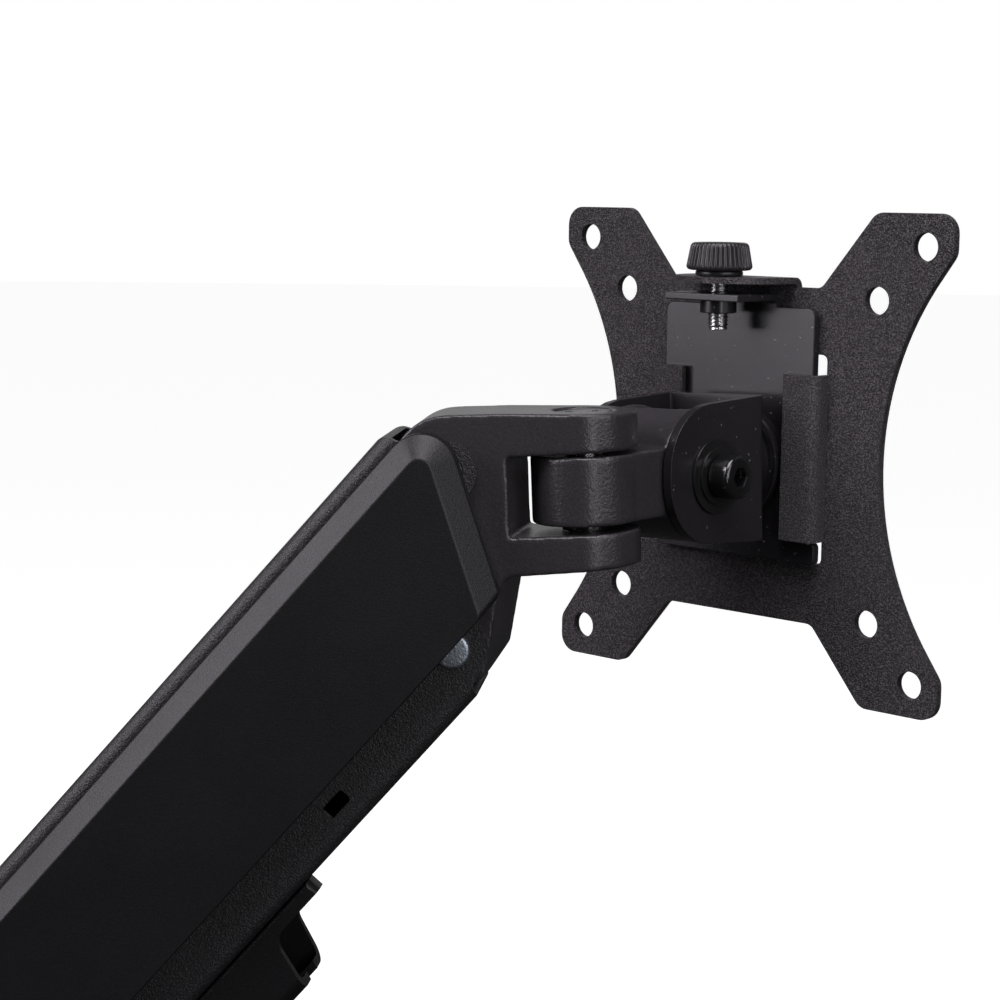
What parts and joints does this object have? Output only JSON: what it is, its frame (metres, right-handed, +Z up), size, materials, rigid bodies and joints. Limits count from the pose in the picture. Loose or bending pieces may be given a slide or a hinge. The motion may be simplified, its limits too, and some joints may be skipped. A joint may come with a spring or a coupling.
{
  "type": "monitor arm",
  "caption": "Desk-clamp monitor arm with swivel post, lower arm, gas-sprung parallelogram arm, swivel and tilt head and a slide-on VESA plate.",
  "frame": {"origin": "swivel axis at the plane of the desk top, where the foot pad rests", "axes": "+Z up, the screen faces -Y, +X to the right seen by the user"},
  "size_m": [0.2413, 0.3835, 0.5345],
  "materials": {
    "cast_black": "textured black powder coat on cast metal",
    "sheet_black": "fine textured black powder coat on steel sheet",
    "steel_black": "fine textured black powder coat on folded steel",
    "plastic_black": "matt black moulded plastic",
    "steel_bright": "zinc plated steel",
    "oxide_black": "black oxide steel",
    "nylon_black": "black nylon",
    "rubber_black": "black foam rubber"
  },
  "bodies": {
    "base": {"desk_pad": "rubber_black", "base_plate": "cast_black", "base_column": "cast_black", "column_screws": "oxide_black", "swivel_post": "steel_bright", "post_washer": "steel_bright", "post_screw": "oxide_black", "clamp_bracket": "cast_black", "clamp_bolts": "oxide_black"},
    "clamp_jaw": {"clamp_disc": "sheet_black", "clamp_pad": "rubber_black"},
    "clamp_spindle": {"clamp_screw": "steel_bright", "clamp_handle": "plastic_black"},
    "lower_arm": {"lower_arm": "cast_black", "base_bush": "nylon_black", "elbow_bush": "nylon_black", "base_cap": "plastic_black", "elbow_cap": "plastic_black", "lower_cable_cover": "plastic_black"},
    "elbow": {"elbow_bracket": "cast_black", "elbow_shaft": "steel_bright", "elbow_washer": "steel_bright", "elbow_screw": "oxide_black", "tension_screw": "oxide_black", "tension_nut": "steel_bright"},
    "spring_arm": {"upper_channel": "steel_black", "side_cover_left": "plastic_black", "side_cover_right": "plastic_black", "rear_upper_pin": "steel_bright", "front_upper_pin": "steel_bright", "spring_pin": "steel_bright"},
    "gas_tube": {"gas_cylinder": "steel_black"},
    "gas_piston": {"gas_rod": "steel_bright", "rod_clevis": "steel_black"},
    "link": {"lower_link": "steel_black", "rear_lower_pin": "steel_bright", "front_lower_rivet": "steel_bright", "cable_duct": "plastic_black"},
    "fork": {"head_fork": "cast_black", "fork_bush": "nylon_black", "swivel_pin": "steel_bright", "swivel_cap": "plastic_black"},
    "knuckle": {"knuckle": "cast_black", "barrel_bush": "nylon_black"},
    "tilt_head": {"tilt_bracket": "sheet_black", "tilt_bolt": "oxide_black", "tilt_nut": "oxide_black", "tilt_sleeve": "steel_bright", "tilt_washers": "nylon_black", "friction_ring": "nylon_black"},
    "quick_release": {"quick_release_plate": "sheet_black", "rotation_disc": "sheet_black", "rotation_pivot": "steel_bright"},
    "screen_plate": {"vesa_plate": "sheet_black"},
    "thumb_ring": {"thumb_collar": "plastic_black"},
    "thumb_screw": {"thumb_knob": "plastic_black", "thumb_stud": "steel_bright"}
  },
  "joints": [
    {"name": "clamp_travel", "type": "slide", "parent": "base", "child": "clamp_jaw", "axis": [0, 0, 1], "range_m": [-0.04, 0.016]},
    {"name": "clamp_turn", "type": "hinge", "parent": "clamp_jaw", "child": "clamp_spindle", "pos_m": [0, 0, -0.1], "axis": [0, 0, 1], "range_deg": [-9601, 3841]},
    {"name": "base_swivel", "type": "hinge", "parent": "base", "child": "lower_arm", "pos_m": [0, 0, 0.072], "axis": [0, 0, 1], "range_deg": [-136, 44]},
    {"name": "elbow_swivel", "type": "hinge", "parent": "lower_arm", "child": "elbow", "pos_m": [0.15825, -0.15282, 0.072], "axis": [0, 0, 1], "range_deg": [-21.86, 218.14]},
    {"name": "arm_lift", "type": "hinge", "parent": "elbow", "child": "spring_arm", "pos_m": [0.14246, -0.1651, 0.149], "axis": [0.6137, -0.7895, 0], "range_deg": [0, 80]},
    {"name": "link_swing", "type": "hinge", "parent": "elbow", "child": "link", "pos_m": [0.1409, -0.16632, 0.1095], "axis": [0.6137, -0.7895, 0], "range_deg": [0, 80]},
    {"name": "fork_level", "type": "hinge", "parent": "spring_arm", "child": "fork", "pos_m": [0.01843, -0.26152, 0.33043], "axis": [0.6137, -0.7895, 0], "range_deg": [-80, 0]},
    {"name": "gas_swing", "type": "hinge", "parent": "spring_arm", "child": "gas_tube", "pos_m": [0.03954, -0.24511, 0.29803], "axis": [0.6137, -0.7895, 0], "range_deg": [0, 2]},
    {"name": "gas_stroke", "type": "slide", "parent": "gas_tube", "child": "gas_piston", "axis": [0.47, 0.3654, -0.8035], "range_m": [-0.01858, 0]},
    {"name": "head_swivel", "type": "hinge", "parent": "fork", "child": "knuckle", "pos_m": [-0.00523, -0.27991, 0.32593], "axis": [0.0397, 0.0308, 0.9987], "range_deg": [-142.14, 37.86]},
    {"name": "head_tilt", "type": "hinge", "parent": "knuckle", "child": "tilt_head", "pos_m": [-0.00518, -0.30828, 0.32731], "axis": [0.9992, 0, -0.0397], "range_deg": [-70, 30]},
    {"name": "screen_rotation", "type": "hinge", "parent": "tilt_head", "child": "quick_release", "pos_m": [-0.00514, -0.33654, 0.32824], "axis": [0, -1, 0], "range_deg": [-180, 180]},
    {"name": "plate_slide", "type": "slide", "parent": "quick_release", "child": "screen_plate", "axis": [0, 0, 1], "range_m": [0, 0.062]},
    {"name": "thumb_travel", "type": "slide", "parent": "screen_plate", "child": "thumb_ring", "axis": [0, 0, 1], "range_m": [0, 0.009]},
    {"name": "thumb_turn", "type": "hinge", "parent": "thumb_ring", "child": "thumb_screw", "pos_m": [-0.00514, -0.32604, 0.37554], "axis": [0, 0, 1], "range_deg": [0, 4051]}
  ],
  "couplings": [
    {"joint": "clamp_turn", "follows": "clamp_travel", "rad_per_m": 4188.8},
    {"joint": "link_swing", "follows": "arm_lift", "ratio": 1},
    {"joint": "fork_level", "follows": "arm_lift", "ratio": -1},
    {"joint": "gas_swing", "follows": "arm_lift", "ratio": 0.02438},
    {"joint": "gas_stroke", "follows": "arm_lift", "m_per_rad": -0.013238},
    {"joint": "thumb_turn", "follows": "thumb_travel", "rad_per_m": 7854}
  ]
}
